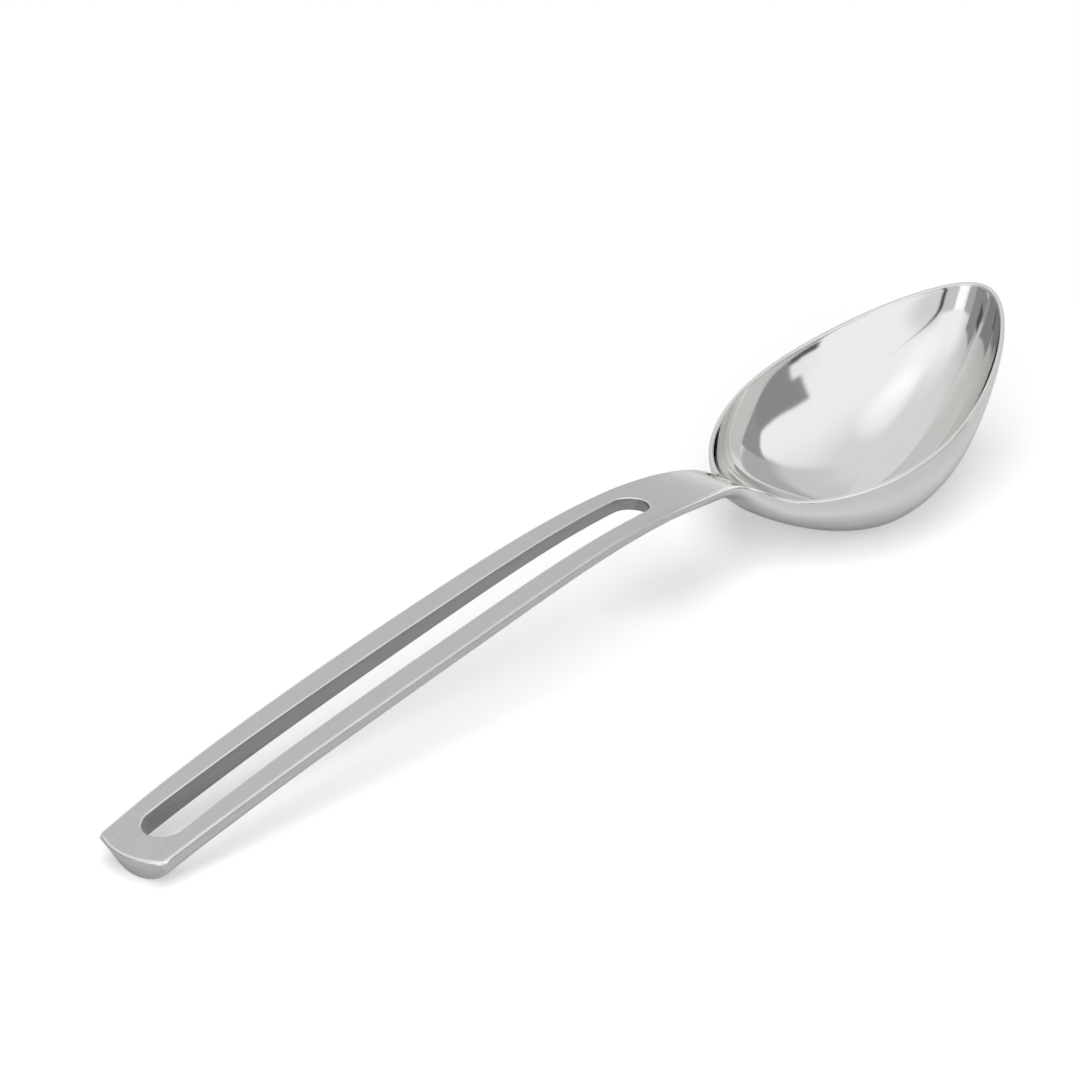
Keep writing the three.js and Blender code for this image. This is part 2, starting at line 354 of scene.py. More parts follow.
def keel_line(x):
    behind = HEEL_Z + HEEL_SLOPE * (x - HEEL_X)
    heel = [(HEEL_X, HEEL_Z), (HEEL_X + HEEL_REACH, HEEL_Z + HEEL_SLOPE * HEEL_REACH),
            (FOOT_X - KEEL_BACK_REACH, -FOOT_FLAT_DEPTH), (FOOT_X, -FOOT_FLAT_DEPTH)]
    front = front_rise(-FOOT_FLAT_DEPTH, RIM_TIP_Z - RIM_EDGE, clear_share(x, FOOT_X, TIP_X))
    return np.where(x < HEEL_X, behind, np.where(x < FOOT_X, height_on(heel, x), front))


def under_line(x):
    joined = soft_min(handle_under(x), keel_line(x), UNDER_BLEND * neck_blend(x))
    return np.where(x > FOOT_X, keel_line(x), joined)


def flat_depth(x):
    """Depth of the flat along the handle's belly, which runs out at the end and before the neck."""
    flat = mix(END_FLAT, NECK_FLAT, handle_share(x))
    below_belly = END_EDGE + END_BELLY + 1
    used = smooth_share(x, *FLAT_RISE_X) * (1 - smooth_share(x, *FLAT_FADE_X))
    return mix(below_belly, flat, used)


def underside(x, y):
    """Height of the outside below: half an ellipse, flat along the handle, more pointed at the tip."""
    edge = top_line(x) - edge_height(x)
    belly = np.maximum(edge - under_line(x), 0)
    inside = np.clip(1 - (y / np.maximum(half_width(x), 1e-6)) ** 2, 0, 1)
    fullness = mix(HANDLE_FULLNESS, fullness_along(OUTER_FULLNESS, x), bowl_share(x))
    full = edge - belly * inside ** fullness
    flat = soft_max(full, top_line(x) - flat_depth(x), FLAT_SOFT)
    return np.maximum(np.where(x < SEAM_X - SEAM_WIDTH, flat, full), 0)


def hollow_line(x):
    back_z = float(top_line(MOUTH_BACK_X))
    pull_x = MOUTH_BACK_X + HOLLOW_BACK_REACH
    pull_z = back_z + HOLLOW_BACK_SLOPE * HOLLOW_BACK_REACH
    back = [(MOUTH_BACK_X, back_z), (pull_x, pull_z),
            (FOOT_X - KEEL_BACK_REACH, BOTTOM_WALL), (FOOT_X, BOTTOM_WALL)]
    front_x = TIP_X - RIM_LAND
    front = front_rise(BOTTOM_WALL, float(top_line(front_x)), clear_share(x, FOOT_X, front_x))
    return np.where(x < FOOT_X, height_on(back, x), front)


def hollow(x, y):
    top = top_line(x)
    depth = np.maximum(top - hollow_line(x), 0)
    inside = np.clip(1 - (y / np.maximum(egg_half(x, 0), 1e-6)) ** 2, 0, 1)
    return np.minimum(top - depth * inside ** fullness_along(HOLLOW_FULLNESS, x), top - MOUTH_ROUND)


def round_drop(distance, radius):
    """How far a rounded edge has dropped at a distance from its side."""
    reach = np.clip(radius - distance, 0, radius)
    return radius - np.sqrt(radius * radius - reach * reach)


# Meshes
def round_steps(radius, count):
    """Distances from a side at which a rounded edge turns by equal steps, from the side inward."""
    turn = np.linspace(0, math.pi / 2, count)
    return radius * (1 - np.cos(turn))


def grid_faces(columns, rings, rings_close):
    """Faces between neighbours in a grid whose columns go round."""
    faces = []
    for column in range(columns):
        beside = (column + 1) % columns
        for ring in range(rings if rings_close else rings - 1):
            above = (ring + 1) % rings
            faces.append((column * rings + ring, beside * rings + ring,
                          beside * rings + above, column * rings + above))
    return faces


def piece_from_grid(name, points, rings_close, pole_first, pole_last):
    """A closed piece from points[column, ring], which go round in their columns."""
    columns, rings = points.shape[:2]
    vertices = [tuple(point) for point in points.reshape(-1, 3)]
    faces = grid_faces(columns, rings, rings_close)
    for pole, ring in ((pole_first, 0), (pole_last, rings - 1)):
        if pole is not None:
            vertices.append(tuple(pole))
            for column in range(columns):
                beside = (column + 1) % columns
                faces.append((column * rings + ring, beside * rings + ring, len(vertices) - 1))
    return finished_piece(name, vertices, faces)


def finished_piece(name, vertices, faces):
    mesh = bpy.data.meshes.new(name)
    placed = [((x - MIDDLE_X) * MM, y * MM, z * MM) for x, y, z in vertices]
    mesh.from_pydata(placed, [], faces)
    work = bmesh.new()
    work.from_mesh(mesh)
    bmesh.ops.remove_doubles(work, verts=work.verts, dist=1e-6)
    bmesh.ops.dissolve_degenerate(work, edges=work.edges, dist=1e-7)
    bmesh.ops.recalc_face_normals(work, faces=work.faces)
    work.to_mesh(mesh)
    work.free()
    mesh.polygons.foreach_set("use_smooth", [True] * len(mesh.polygons))
    mesh.set_sharp_from_angle(angle=math.radians(SHARP_TURN))
    piece = bpy.data.objects.new(name, mesh)
    bpy.context.collection.objects.link(piece)
    return piece


def both_sides(half_points):
    """Closes a half outline, which starts and ends in the middle plane, with its mirror image."""
    mirrored = half_points[-2:0:-1] * np.array([1, -1])
    return np.concatenate([half_points, mirrored])


def outline_normals(outline):
    along = np.roll(outline, -1, axis=0) - np.roll(outline, 1, axis=0)
    length = np.maximum(np.linalg.norm(along, axis=1, keepdims=True), 1e-9)
    return np.stack([along[:, 1], -along[:, 0]], axis=1) / length


def between(inner, outer, inner_steps, outer_steps, span_count):
    """Plan points from each inner point to its outer one, dense at both rounded edges."""
    reach = np.linalg.norm(outer - inner, axis=1)[:, None]
    first = np.minimum(inner_steps / (reach * squareness(inner, outer, inner)), 0.3)
    last = 1 - np.minimum(outer_steps[::-1] / (reach * squareness(inner, outer, outer)), 0.5)
    middle = np.linspace(0, 1, span_count + 2)[1:-1][None, :]
    span = mix(first[:, -1:], last[:, :1], middle)
    share = np.clip(np.concatenate([first, span, last], axis=1), 0, 1)
    return mix(inner[:, None, :], outer[:, None, :], share[..., None])


def squareness(inner, outer, outline):
    """How squarely the lines from inner to outer points meet an outline, from 0.3 to 1."""
    across = (outer - inner) / np.linalg.norm(outer - inner, axis=1, keepdims=True)
    return np.maximum(np.abs((across * outline_normals(outline)).sum(1)), 0.3)[:, None]


def with_height(plan, z):
    return np.concatenate([plan, z[..., None]], axis=-1)


def bowl_outlines():
    """Matching points round the mouth and round the outside, from the seam's middle to the tip."""
    seam_x = SEAM_X + SEAM_WIDTH / 2
    seam_end, neck_end = 0.05, 0.3
    seam_count, side_count, egg_count = 18, 48, 170
    along_neck = np.linspace(0, 1, side_count, endpoint=False)
    inner_share = np.concatenate([np.linspace(0, seam_end, seam_count, endpoint=False),
                                  mix(seam_end, neck_end, along_neck ** 2),
                                  np.linspace(neck_end, 2, egg_count)])
    inner = egg_point(inner_share, 0)
    seam_y = half_width(seam_x) * np.sin(np.linspace(0, math.pi / 2, seam_count, endpoint=False))
    seam = np.stack([np.full(seam_count, seam_x), seam_y], axis=1)
    grown = egg_point(inner_share[seam_count + side_count:], RIM_LAND)
    side_x = mix(seam_x, grown[0, 0], along_neck)
    side = np.stack([side_x, half_width(side_x)], axis=1)
    behind = grown[:, 0] < WIDEST_X
    grown[behind, 1] = half_width(grown[behind, 0])
    return inner, np.concatenate([seam, side, grown])


def bowl_piece():
    half_inner, half_outer = bowl_outlines()
    inner, outer = both_sides(half_inner), both_sides(half_outer)
    middle = np.array([FOOT_X, 0.0])
    swing = np.sin(np.linspace(0, math.pi / 2, 80)[1:])
    hollow_plan = mix(middle, inner[:, None, :], swing[:, None])
    hollow_points = with_height(hollow_plan, hollow(hollow_plan[..., 0], hollow_plan[..., 1]))
    land_plan = between(inner, outer, round_steps(MOUTH_ROUND, 6), round_steps(RIM_ROUND, 7), 10)
    land_points = with_height(land_plan, bowl_land(land_plan, inner, outer))
    under_plan = mix(middle, outer[:, None, :], swing[::-1][:, None])
    under_points = with_height(under_plan, underside(under_plan[..., 0], under_plan[..., 1]))
    points = np.concatenate([hollow_points, land_points[:, 1:], under_points], axis=1)
    first_pole = (FOOT_X, 0.0, BOTTOM_WALL)
    last_pole = (FOOT_X, 0.0, 0.0)
    return piece_from_grid("bowl_shell", points, False, first_pole, last_pole)


def side_distance(x, y):
    """Distance from the spoon's side, across its outline."""
    step = 0.05
    slope = (half_width(x + step) - half_width(x - step)) / (2 * step)
    return (half_width(x) - np.abs(y)) / np.hypot(1, slope)


def edge_round(x):
    return mix(HANDLE_ROUND, RIM_ROUND, bowl_share(x))


def bowl_land(plan, inner, outer):
    """Height of the rim's land and the neck's top, rounded at the mouth and at the outside."""
    x, y = plan[..., 0], plan[..., 1]
    mouth_normal = outline_normals(inner)[:, None, :]
    from_mouth = np.abs(((plan - inner[:, None, :]) * mouth_normal).sum(-1))
    across_rim = np.linalg.norm(plan - outer[:, None, :], axis=-1)
    from_outside = np.where(outer[:, :1] < WIDEST_X, side_distance(x, y), across_rim)
    return top_line(x) - round_drop(from_mouth, MOUTH_ROUND) - round_drop(from_outside, edge_round(x))


def slot_half(x):
    return mix(SLOT_START_HALF, SLOT_END_HALF, clear_share(x, SLOT_START_X, SLOT_END_X))


def slot_distance(x, y):
    start = SLOT_START_X + SLOT_START_HALF
    end = SLOT_END_X - SLOT_END_HALF
    straight = np.abs(y) - slot_half(x)
    at_start = np.hypot(x - start, y) - SLOT_START_HALF
    at_end = np.hypot(x - end, y) - SLOT_END_HALF
    return np.where(x < start, at_start, np.where(x > end, at_end, straight))


def end_face_x(y):
    return -END_BULGE * (1 - (y / handle_half(0)) ** 2)


def end_lean(x, y):
    """How far the end face has leaned in under the top where it meets the underside."""
    depth = END_EDGE + END_BELLY * np.sqrt(np.clip(1 - (y / handle_half(0)) ** 2, 0, 1))
    return END_LEAN * depth * (1 - clear_share(x, END_CORNER, 3 * END_CORNER))


def outside_distance(x, y):
    """Distance from the handle's sides and end, with a round corner between them."""
    side = half_width(x) - np.abs(y)
    end = x - end_face_x(y)
    corner = END_CORNER - np.hypot(END_CORNER - side, END_CORNER - end)
    in_corner = (side < END_CORNER) & (end < END_CORNER)
    return np.maximum(np.where(in_corner, corner, np.minimum(side, end)), 0)


def arc(middle_x, radius, turn):
    return np.stack([middle_x + radius * np.cos(turn), radius * np.sin(turn)], axis=1)


def handle_outlines():
    """Matching points round the slot and round the outside, from the end's middle to the seam's middle."""
    start = SLOT_START_X + SLOT_START_HALF
    end = SLOT_END_X - SLOT_END_HALF
    seam_x = SEAM_X - SEAM_WIDTH / 2
    end_count, corner_count, back_count, side_count, front_count, seam_count = 22, 10, 14, 150, 40, 18
    corner_y = handle_half(0) - END_CORNER
    corner_x = end_face_x(corner_y) + END_CORNER
    end_y = np.linspace(0, corner_y, end_count, endpoint=False)
    turn = np.linspace(0, math.pi / 2, corner_count)
    back_x = np.linspace(corner_x, start, back_count + 1)[1:]
    side_x = np.linspace(start, end, side_count + 1)[1:]
    front_x = np.linspace(end, seam_x, front_count + 1)[1:]
    seam_y = half_width(seam_x) * np.cos(np.linspace(0, math.pi / 2, seam_count + 1)[1:])
    corner = np.stack([corner_x - END_CORNER * np.cos(turn), corner_y + END_CORNER * np.sin(turn)], axis=1)
    corner[:, 1] += (half_width(corner_x) - handle_half(0)) * np.sin(turn)
    long_x = np.concatenate([back_x, side_x, front_x])
    outer = np.concatenate([
        np.stack([end_face_x(end_y), end_y], axis=1),
        corner,
        np.stack([long_x, half_width(long_x)], axis=1),
        np.stack([np.full(seam_count, seam_x), seam_y], axis=1)])
    back_turn = np.linspace(math.pi, math.pi / 2, end_count + corner_count + back_count)
    front_turn = np.linspace(math.pi / 2, 0, front_count + seam_count + 1)[1:]
    inner = np.concatenate([
        arc(start, SLOT_START_HALF, back_turn),
        np.stack([side_x, slot_half(side_x)], axis=1),
        arc(end, SLOT_END_HALF, front_turn)])
    return inner, outer


def handle_upper(x, y):
    drop = round_drop(outside_distance(x, y), HANDLE_ROUND) + round_drop(slot_distance(x, y), SLOT_ROUND)
    return top_line(x) - drop


def handle_lower(x, y):
    from_end = np.maximum(x - end_face_x(y) - end_lean(0, y), 0)
    lift = round_drop(from_end, END_ROUND) + round_drop(slot_distance(x, y), SLOT_ROUND)
    return np.maximum(underside(x, y) + lift, 0)


def handle_piece():
    half_inner, half_outer = handle_outlines()
    inner, outer = both_sides(half_inner), both_sides(half_outer)
    top_plan = between(inner, outer, round_steps(SLOT_ROUND, 6), round_steps(HANDLE_ROUND, 7), 14)
    top_points = with_height(top_plan, handle_upper(top_plan[..., 0], top_plan[..., 1]))
    low_outer = outer.copy()
    low_outer[:, 0] += end_lean(outer[:, 0], outer[:, 1])
    low_plan = between(inner, low_outer, round_steps(SLOT_ROUND, 5), round_steps(BELLY_TURN, 12), 10)
    low_plan = low_plan[:, ::-1]
    low_points = with_height(low_plan, handle_lower(low_plan[..., 0], low_plan[..., 1]))
    side_points = wall_points(top_points[:, -1], low_points[:, 0], 4)
    slot_points = wall_points(low_points[:, -1], top_points[:, 0], 5)
    points = np.concatenate([top_points, side_points, low_points, slot_points], axis=1)
    return piece_from_grid("slotted_handle", points, True, None, None)


def wall_points(start, end, count):
    share = np.linspace(0, 1, count + 2)[1:-1]
    return mix(start[:, None, :], end[:, None, :], share[None, :, None])


def weld_piece():
    """The short ground bead between handle and bowl, flush with both."""
    stations = np.linspace(SEAM_X - SEAM_WIDTH / 2, SEAM_X + SEAM_WIDTH / 2, 9)
    across = np.cos(np.linspace(0, math.pi, 61))
    y = half_width(stations)[:, None] * across[None, :]
    x = np.repeat(stations[:, None], len(across), axis=1)
    side = half_width(x) - np.abs(y)
    upper = np.stack([x, y, top_line(x) - round_drop(side, HANDLE_ROUND)], axis=-1)
    lower = np.stack([x, y, underside(x, y)], axis=-1)[:, ::-1]
    loop = np.concatenate([upper, lower], axis=1).transpose(1, 0, 2)
    columns, rings = loop.shape[:2]
    vertices = [tuple(point) for point in loop.reshape(-1, 3)]
    faces = grid_faces(columns, rings, False)
    faces.append(tuple(column * rings for column in range(columns)))
    faces.append(tuple(column * rings + rings - 1 for column in range(columns)))
    return finished_piece("neck_bead", vertices, faces)


# Finishes
class Wiring:
    """Adds nodes to one tree, puts numbers on their sockets and joins other nodes' outputs to them."""

    def __init__(self, tree):
        self.tree = tree

    def put(self, socket, value):
        if isinstance(value, bpy.types.NodeSocket):
            self.tree.links.new(value, socket)
        else:
            socket.default_value = value

    def node(self, kind, inputs, **settings):
        node = self.tree.nodes.new(kind)
        for name, value in settings.items():
            setattr(node, name, value)
        for key, value in inputs.items():
            self.put(node.inputs[key], value)
        return node

    def math(self, operation, a, b=0.0):
        return self.node("ShaderNodeMath", {0: a, 1: b}, operation=operation).outputs[0]

    def step(self, value, low, high, start=0.0, end=1.0):
        """Runs smoothly from start to end while the value runs from low to high."""
        inputs = {"Value": value, "From Min": low, "From Max": high, "To Min": start, "To Max": end}
        return self.node("ShaderNodeMapRange", inputs, interpolation_type="SMOOTHSTEP").outputs["Result"]

    def line(self, value, low, high, start=0.0, end=1.0):
        """Runs straight from start to end while the value runs from low to high."""
        inputs = {"Value": value, "From Min": low, "From Max": high, "To Min": start, "To Max": end}
        return self.node("ShaderNodeMapRange", inputs).outputs["Result"]

    def blend(self, a, b, share):
        return self.node("ShaderNodeMix", {"Factor": share, "A": a, "B": b}).outputs["Result"]

    def tone(self, a, b, share):
        """A colour between two colours."""
        node = self.node("ShaderNodeMix", {"Factor": share}, data_type="RGBA")
        self.put(node.inputs[6], a)
        self.put(node.inputs[7], b)
        return node.outputs[2]

    def stretched(self, place, scale, turn=(0, 0, 0)):
        inputs = {"Vector": place, "Scale": scale, "Rotation": turn}
        return self.node("ShaderNodeMapping", inputs).outputs["Vector"]

    def noise(self, place, scale, detail, roughness=0.55):
        inputs = {"Vector": place, "Scale": scale, "Detail": detail, "Roughness": roughness}
        return self.node("ShaderNodeTexNoise", inputs).outputs["Fac"]


def new_group(name, inputs, outputs):
    """An empty node group with named sockets, as (name, kind, value) for inputs and names for outputs."""
    tree = bpy.data.node_groups.new(name, "ShaderNodeTree")
    for title, kind, value in inputs:
        socket = tree.interface.new_socket(title, in_out="INPUT", socket_type=kind)
        if value is not None:
            socket.default_value = value
    for title in outputs:
        tree.interface.new_socket(title, in_out="OUTPUT", socket_type="NodeSocketFloat")
    wires = Wiring(tree)
    return tree, wires, wires.node("NodeGroupInput", {}).outputs, wires.node("NodeGroupOutput", {}).inputs


def grain_group():
    """Fine lines left by a brushing belt, along the longer spacing of Stretch."""
    tree, wires, given, result = new_group("belt_grain", [
        ("Place", "NodeSocketVector", None),
        ("Stretch", "NodeSocketVector", (40.0, 2500.0, 2500.0))], ["Lines", "Cloud"])
    factors = {0: given["Place"], 1: given["Stretch"]}
    lines_at = wires.node("ShaderNodeVectorMath", factors, operation="MULTIPLY").outputs[0]
    fine = wires.noise(lines_at, 1.0, 5.0, 0.7)
    broad = wires.noise(lines_at, 0.23, 3.0, 0.6)
    wires.put(result["Lines"], wires.blend(fine, broad, 0.4))
    wires.put(result["Cloud"], wires.noise(given["Place"], 90.0, 4.0))
    return tree


def marks_group():
    """Marks of use: hairline scratches in two directions, and faint smudges."""
    tree, wires, given, result = new_group("marks_of_use", [
        ("Place", "NodeSocketVector", None)], ["Hairlines", "Smudges"])
    first = wires.stretched(given["Place"], (60.0, 3400.0, 3400.0), (0.0, 0.0, 0.42))
    second = wires.stretched(given["Place"], (2600.0, 50.0, 2600.0), (0.0, 0.0, 0.87))
    deep = wires.math("MAXIMUM", wires.noise(first, 1.0, 1.0), wires.noise(second, 1.0, 1.0))
    wires.put(result["Hairlines"], wires.step(deep, 0.7, 0.78))
    wires.put(result["Smudges"], wires.step(wires.noise(given["Place"], 55.0, 5.0, 0.6), 0.48, 0.72))
    return tree


def new_material(name):
    material = bpy.data.materials.new(name)
    material.use_nodes = True
    surface = material.node_tree.nodes["Principled BSDF"]
    return material, Wiring(material.node_tree), surface


def new_steel(name):
    material, wires, steel = new_material(name)
    steel.inputs["Metallic"].default_value = 1
    return material, wires, steel


def use_group(wires, tree, inputs):
    node = wires.node("ShaderNodeGroup", {}, node_tree=tree)
    for name, value in inputs.items():
        wires.put(node.inputs[name], value)
    return node.outputs


def place_of(wires):
    return wires.node("ShaderNodeTexCoord", {}).outputs["Object"]


def bumped(wires, steel, height, strength, distance):
    bump = wires.node("ShaderNodeBump", {"Height": height, "Strength": strength, "Distance": distance})
    wires.put(steel.inputs["Normal"], bump.outputs["Normal"])


def satin_steel(grain, marks):
    """The handle's brushed satin, which runs out into the polish of the neck."""
    material, wires, steel = new_steel("satin_steel")
    place = place_of(wires)
    brushed = use_group(wires, grain, {"Place": place, "Stretch": HANDLE_GRAIN})
    used = use_group(wires, marks, {"Place": place})
    along = wires.node("ShaderNodeSeparateXYZ", {0: place}).outputs["X"]
    streaked = wires.line(brushed["Lines"], 0, 1, -0.006, 0.006)
    polish = wires.step(wires.math("ADD", along, streaked), POLISH_START, POLISH_END)
    satin = wires.line(brushed["Lines"], *GRAIN_RANGE, 0.27, 0.4)
    marked = wires.math("SUBTRACT", satin, wires.math("MULTIPLY", used["Hairlines"], 0.03))
    wires.put(steel.inputs["Roughness"], wires.blend(marked, 0.09, polish))
    on_lines = wires.line(brushed["Lines"], *GRAIN_RANGE)
    light = wires.tone((0.58, 0.575, 0.563, 1), (0.69, 0.685, 0.672, 1), on_lines)
    dulled = wires.tone(light, (0.59, 0.583, 0.57, 1), wires.math("MULTIPLY", brushed["Cloud"], 0.45))
    wires.put(steel.inputs["Base Color"], wires.tone(dulled, (0.79, 0.78, 0.765, 1), polish))
    height = wires.math("MULTIPLY", brushed["Lines"], wires.step(polish, 0, 1, 1, 0.15))
    bumped(wires, steel, height, 0.12, 0.0001)
    return material


def punched_shaded_steel(grain, marks):
    """The slot's walls: duller than the belt-finished outside, and darker in base colour as painted shade
    of the narrow slot.
    """
    material, wires, steel = new_steel("punched_shaded_steel")
    place = place_of(wires)
    drawn = use_group(wires, grain, {"Place": place, "Stretch": (70.0, 2400.0, 2400.0)})
    used = use_group(wires, marks, {"Place": place})
    wires.put(steel.inputs["Roughness"], wires.line(drawn["Lines"], *GRAIN_RANGE, 0.28, 0.38))
    on_lines = wires.line(drawn["Lines"], *GRAIN_RANGE)
    # Painted shade: this base colour is far darker than the satin's and stands in for the shade inside the
    # narrow slot; the duller roughness is the punched wall's own.
    shaded_tone = wires.tone((0.32, 0.316, 0.307, 1), (0.4, 0.395, 0.386, 1), on_lines)
    wires.put(steel.inputs["Base Color"], wires.tone(shaded_tone, (0.35, 0.345, 0.336, 1), used["Smudges"]))
    bumped(wires, steel, drawn["Lines"], 0.08, 0.0001)
    return material


def rubbed_highlit_steel(grain, marks):
    """The handle's softened top edges: rubbed smoother than the satin beside them, and brighter in base
    colour as a painted highlight along them.
    """
    material, wires, steel = new_steel("rubbed_highlit_steel")
    place = place_of(wires)
    brushed = use_group(wires, grain, {"Place": place, "Stretch": HANDLE_GRAIN})
    used = use_group(wires, marks, {"Place": place})
    wires.put(steel.inputs["Roughness"], wires.line(brushed["Lines"], *GRAIN_RANGE, 0.2, 0.28))
    on_lines = wires.line(brushed["Lines"], *GRAIN_RANGE)
    # Painted highlight: this base colour is brighter than the bowl's polish and stands in for the bright
    # line that light lays along these edges; the lower roughness is the rubbed edge's own.
    highlight_tone = wires.tone((0.84, 0.835, 0.82, 1), (0.92, 0.915, 0.9, 1), on_lines)
    wires.put(steel.inputs["Base Color"], wires.tone(highlight_tone, (0.8, 0.795, 0.78, 1), used["Smudges"]))
    bumped(wires, steel, brushed["Lines"], 0.06, 0.0001)
    return material


def buffed_weld(grain, marks):
    """The ground bead, buffed across the neck."""
    material, wires, steel = new_steel("buffed_weld")
    place = place_of(wires)
    buffed = use_group(wires, grain, {"Place": place, "Stretch": (2400.0, 120.0, 2400.0)})
    used = use_group(wires, marks, {"Place": place})
    smooth = wires.line(buffed["Lines"], *GRAIN_RANGE, 0.07, 0.16)
    smudged = wires.math("ADD", smooth, wires.math("MULTIPLY", used["Smudges"], 0.03))
    wires.put(steel.inputs["Roughness"], smudged)
    clouded = wires.tone((0.72, 0.71, 0.69, 1), (0.8, 0.79, 0.775, 1), buffed["Cloud"])
    wires.put(steel.inputs["Base Color"], clouded)
    bumped(wires, steel, buffed["Lines"], 0.05, 0.0001)
    return material


def polished_steel(marks):
    """The bowl's mirror polish, with hairlines and faint smudges."""
    material, wires, steel = new_steel("polished_steel")
    place = place_of(wires)
    used = use_group(wires, marks, {"Place": place})
    hazy = wires.line(wires.noise(place, 38.0, 3.0), *GRAIN_RANGE, 0.035, 0.075)
    smudged = wires.math("ADD", hazy, wires.math("MULTIPLY", used["Smudges"], 0.035))
    scratched = wires.math("ADD", smudged, wires.math("MULTIPLY", used["Hairlines"], 0.05))
    wires.put(steel.inputs["Roughness"], scratched)
    dimmed = wires.tone((0.81, 0.805, 0.795, 1), (0.78, 0.772, 0.758, 1), used["Smudges"])
    wires.put(steel.inputs["Base Color"], dimmed)
    bumped(wires, steel, wires.noise(place, 70.0, 2.0), 0.03, 0.0003)
    return material


# Studio
def add_camera():
    data = bpy.data.cameras.new("camera")
    data.sensor_width = CAMERA_SENSOR
    data.lens = CAMERA_LENS
    data.clip_start = 0.05
    camera = bpy.data.objects.new("camera", data)
    bpy.context.collection.objects.link(camera)
    x, y, z = CAMERA_PLACE
    place = Matrix.Translation(((x - MIDDLE_X) * MM, y * MM, z * MM))
    turn = Matrix.Rotation(math.radians(CAMERA_TURN - 90), 4, "Z")
    tilt = Matrix.Rotation(math.radians(90 - CAMERA_TILT), 4, "X")
    roll = Matrix.Rotation(math.radians(CAMERA_ROLL), 4, "Z")
    camera.matrix_world = place @ turn @ tilt @ roll
    bpy.context.scene.camera = camera


def add_floor():
    mesh = bpy.data.meshes.new("floor")
    reach = PAPER_REACH
    corners = [(-reach, -reach, 0), (reach, -reach, 0), (reach, reach, 0), (-reach, reach, 0)]
    mesh.from_pydata(corners, [], [(0, 1, 2, 3)])
    floor = bpy.data.objects.new("floor", mesh)
    bpy.context.collection.objects.link(floor)
    mesh.materials.append(white_paper())


def white_paper():
    """White paper that keeps the spoon's shadow, lightened where the camera or the steel looks at it."""
    material, wires, paper = new_material("white_paper")
    paper.inputs["Base Color"].default_value = (0.66, 0.66, 0.66, 1)
    paper.inputs["Roughness"].default_value = 0.9
    paper.inputs["Specular IOR Level"].default_value = 0.1
    paper.inputs["Emission Color"].default_value = (1, 1, 1, 1)
    sight = wires.node("ShaderNodeLightPath", {}).outputs
    mirrored = wires.math("MAXIMUM", sight["Is Glossy Ray"], sight["Is Transmission Ray"])
    to_camera = wires.math("MULTIPLY", sight["Is Camera Ray"], PAPER_TO_CAMERA)
    to_steel = wires.math("MULTIPLY", mirrored, PAPER_TO_STEEL)
    wires.put(paper.inputs["Emission Strength"], wires.math("ADD", to_camera, to_steel))
    return material


def add_soft_box(name, direction, power):
    """A soft box that lights the paper. The steel shows the studio round it instead."""
    data = bpy.data.lights.new(name, "AREA")
    data.shape = "SQUARE"
    data.size = SOFT_BOX_SIZE
    data.energy = power
    lamp = bpy.data.objects.new(name, data)
    bpy.context.collection.objects.link(lamp)
    toward = Vector(direction).normalized()
    lamp.location = toward * SOFT_BOX_DISTANCE
    lamp.rotation_euler = toward.to_track_quat("Z", "Y").to_euler()
    lamp.visible_glossy = False


def within(wires, angle, low, high, edge):
    """A soft-edged mask of the angles from low to high."""
    above = wires.step(angle, low - edge, low + edge)
    below = wires.step(angle, high - edge, high + edge, 1, 0)
    return wires.math("MULTIPLY", above, below)


def rod_mask(wires, turn, rise):
    """A thin upright rod that bends over and fades."""
    past_bend = wires.math("MAXIMUM", wires.math("SUBTRACT", rise, ROD_BEND_RISE), 0.0)
    bent = wires.math("MULTIPLY", wires.math("MULTIPLY", past_bend, past_bend), ROD_BEND)
    off = wires.math("ABSOLUTE", wires.math("SUBTRACT", wires.math("SUBTRACT", turn, bent), ROD_TURN))
    across = wires.step(off, *ROD_HALF_WIDTH, 1, 0)
    return wires.math("MULTIPLY", across, wires.step(rise, *ROD_TOP_RISE, 1, 0))


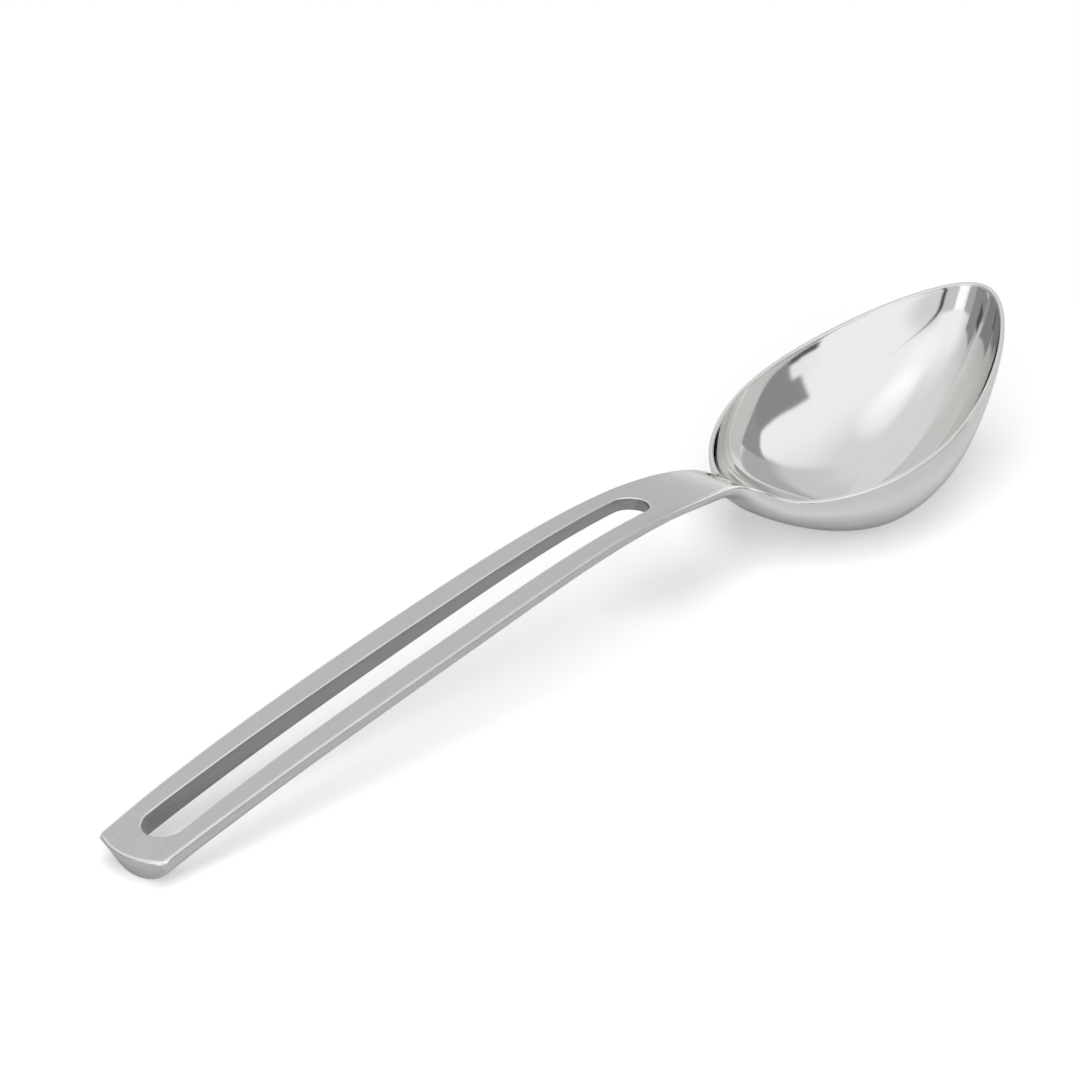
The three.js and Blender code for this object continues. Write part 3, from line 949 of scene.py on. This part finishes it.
def add_world():
    """A white studio: a bright wall on the camera's side, dimmer sides behind, and low things in it."""
    world = bpy.data.worlds.new("white_studio")
    world.use_nodes = True
    bpy.context.scene.world = world
    wires = Wiring(world.node_tree)
    direction = wires.node("ShaderNodeTexCoord", {}).outputs["Generated"]
    x, y, z = wires.node("ShaderNodeSeparateXYZ", {0: direction}).outputs
    back_x, back_y = wires.math("MULTIPLY", x, -1.0), wires.math("MULTIPLY", y, -1.0)
    turn = wires.math("DEGREES", wires.math("ARCTAN2", back_y, back_x))
    ahead = wires.math("DEGREES", wires.math("ARCTAN2", y, x))
    rise = wires.math("DEGREES", wires.math("ARCSINE", z))
    low = wires.step(ahead, *FAR_START_AHEAD, SIDE_LOW_LEVEL, FAR_LOW_LEVEL)
    far = wires.step(rise, *DOME_START_RISE, low, DOME_LEVEL)
    front = wires.step(rise, *AHEAD_HIGH_START_RISE, AHEAD_LEVEL, AHEAD_HIGH_LEVEL)
    front = wires.blend(front, DOME_LEVEL, wires.step(rise, *AHEAD_HIGH_END_RISE))
    front = wires.blend(AHEAD_LOW_LEVEL, front, wires.step(rise, *AHEAD_LOW_END_RISE))
    light = wires.blend(far, front, within(wires, ahead, *AHEAD_SIDES, AHEAD_EDGE))
    started = wires.step(turn, *WALL_START_TURN)
    not_ended = wires.step(turn, *WALL_END_TURN, 1, 0)
    below_top = wires.step(rise, *WALL_TOP_RISE, 1, 0)
    wall = wires.math("MULTIPLY", wires.math("MULTIPLY", started, not_ended), below_top)
    light = wires.blend(light, WALL_LEVEL, wall)
    for side, gain in PANELS:
        toward = wires.node("ShaderNodeVectorMath", {0: direction, 1: side}, operation="DOT_PRODUCT")
        light = wires.math("ADD", light, wires.step(toward.outputs["Value"], PANEL_REACH, 1, 0, gain))
    for turn_low, turn_high, rise_low, rise_high, climb, level in CARDS:
        beside = within(wires, turn, turn_low, turn_high, CARD_EDGE)
        climbed = wires.math("MULTIPLY", wires.math("SUBTRACT", turn, turn_low), climb)
        upright = within(wires, wires.math("SUBTRACT", rise, climbed), rise_low, rise_high, CARD_EDGE)
        card = wires.math("MULTIPLY", beside, upright)
        light = wires.blend(light, level, card)
    light = wires.blend(light, ROD_LEVEL, rod_mask(wires, turn, rise))
    # The soft boxes alone light the paper
    world.cycles_visibility.diffuse = False
    background = world.node_tree.nodes["Background"]
    background.inputs["Color"].default_value = (1, 1, 1, 1)
    wires.put(background.inputs["Strength"], light)


def dress(piece, node, material):
    piece.data.materials.append(material)
    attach(piece, "root")
    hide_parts(node)


def finish_edges(handle, shaded_wall_material, highlight_edge_material):
    """Gives the slot's walls (material 1) a darker finish with painted shade, and the softened top edges
    that face upward (material 2) a brighter finish with a painted highlight.
    """
    handle.data.materials.append(shaded_wall_material)
    handle.data.materials.append(highlight_edge_material)
    faces = handle.data.polygons
    centres = np.array([face.center for face in faces]) / MM
    rise = np.array([face.normal.z for face in faces])
    x, y = centres[:, 0] + MIDDLE_X, centres[:, 1]
    from_slot = slot_distance(x, y)
    from_edge = np.minimum(from_slot / SLOT_ROUND, outside_distance(x, y) / HANDLE_ROUND)
    # The slot's walls get painted shade, and only edge faces that look upward get the painted highlight.
    wall = (from_slot < SLOT_ROUND / 2) & (np.abs(rise) < WALL_FACING)
    highlit_edges = (from_edge < 1) & (rise > HIGHLIGHT_FACING[0]) & (rise < HIGHLIGHT_FACING[1])
    finish = np.where(highlit_edges, 2, np.where(wall, 1, 0))
    faces.foreach_set("material_index", finish.astype(np.int32))


bpy.context.scene.view_settings.view_transform = "Standard"
add_camera()
add_floor()
add_soft_box("top_box", TOP_BOX_DIRECTION, TOP_BOX_POWER)
add_soft_box("side_box", SIDE_BOX_DIRECTION, SIDE_BOX_POWER)
add_world()
grain = grain_group()
marks = marks_group()
dress(bowl_piece(), "bowl", polished_steel(marks))
handle = handle_piece()
dress(handle, "handle", satin_steel(grain, marks))
finish_edges(handle, punched_shaded_steel(grain, marks), rubbed_highlit_steel(grain, marks))
dress(weld_piece(), "neck_weld", buffed_weld(grain, marks))
